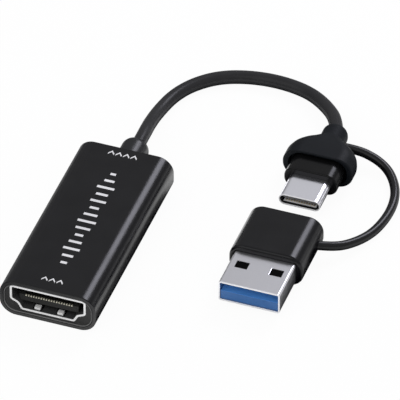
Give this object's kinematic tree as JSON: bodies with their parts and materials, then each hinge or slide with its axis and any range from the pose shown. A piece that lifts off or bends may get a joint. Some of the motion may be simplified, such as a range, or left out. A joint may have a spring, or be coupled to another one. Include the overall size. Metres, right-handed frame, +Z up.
{
  "type": "video capture box",
  "caption": "Small flat video capture box with a video input socket, a short cable to a USB-C plug, and a tethered USB-A adapter that slides onto the plug.",
  "frame": {"origin": "centre of the box's bottom face, on the surface it lies on; cord and adapter left out", "axes": "+Z up, +Y from the video socket towards the cable, +X to the right seen from the socket's end"},
  "size_m": [0.0604, 0.0801, 0.008],
  "materials": {
    "sleeve_black": "satin black coating",
    "plate_grey": "fine moulded texture",
    "socket_metal": "bright plated",
    "contact_gold": "gold plated",
    "carrier_black": "moulded",
    "board_green": "solder mask",
    "chip_black": "moulded",
    "thermal_pad": "soft pad",
    "can_metal": "plain",
    "ceramic": "fired",
    "solder": "bright",
    "wire_red": "insulation",
    "wire_white": "insulation",
    "wire_green": "insulation",
    "wire_black": "insulation",
    "relief_black": "satin moulded",
    "cable_black": "satin jacket",
    "tether_black": "satin",
    "hood_black": "matte",
    "collar_black": "glossy",
    "plug_metal": "fine brushed plating",
    "adapter_black": "glossy",
    "blue_plastic": "moulded"
  },
  "bodies": {
    "root": {"housing_sleeve": "sleeve_black", "front_plate": "plate_grey", "rear_plate": "plate_grey", "video_socket_shell": "socket_metal", "contact_carrier": "carrier_black", "video_contacts": "contact_gold", "main_board": "board_green", "capture_chip": "chip_black", "thermal_pad": "thermal_pad", "flash_memory": "chip_black", "clock_crystal": "can_metal", "voltage_regulator": "chip_black", "power_inductor": "chip_black", "capacitors": "ceramic", "resistors": "chip_black", "red_wire": "wire_red", "white_wire": "wire_white", "green_wire": "wire_green", "black_wire": "wire_black", "solder_joints": "solder", "cable_strain_relief": "relief_black", "cable_jacket": "cable_black", "plug_hood": "hood_black", "plug_collar": "collar_black", "slim_plug_shell": "plug_metal", "slim_plug_filler": "carrier_black", "slim_plug_pins": "contact_gold", "plug_board": "board_green", "tether_cord": "tether_black"},
    "adapter": {"adapter_shell": "adapter_black", "adapter_rear_cover": "adapter_black", "slim_socket_shell": "plug_metal", "slim_socket_tongue": "carrier_black", "slim_socket_pins": "contact_gold", "adapter_board": "board_green", "wide_plug_shell": "plug_metal", "wide_plug_tongue": "blue_plastic", "wide_plug_contacts": "contact_gold"}
  },
  "joints": [
    {"name": "adapter_slide", "type": "slide", "parent": "root", "child": "adapter", "axis": [0, 1, 0], "range_m": [0, 0.013], "deforming": ["tether_cord"]}
  ]
}
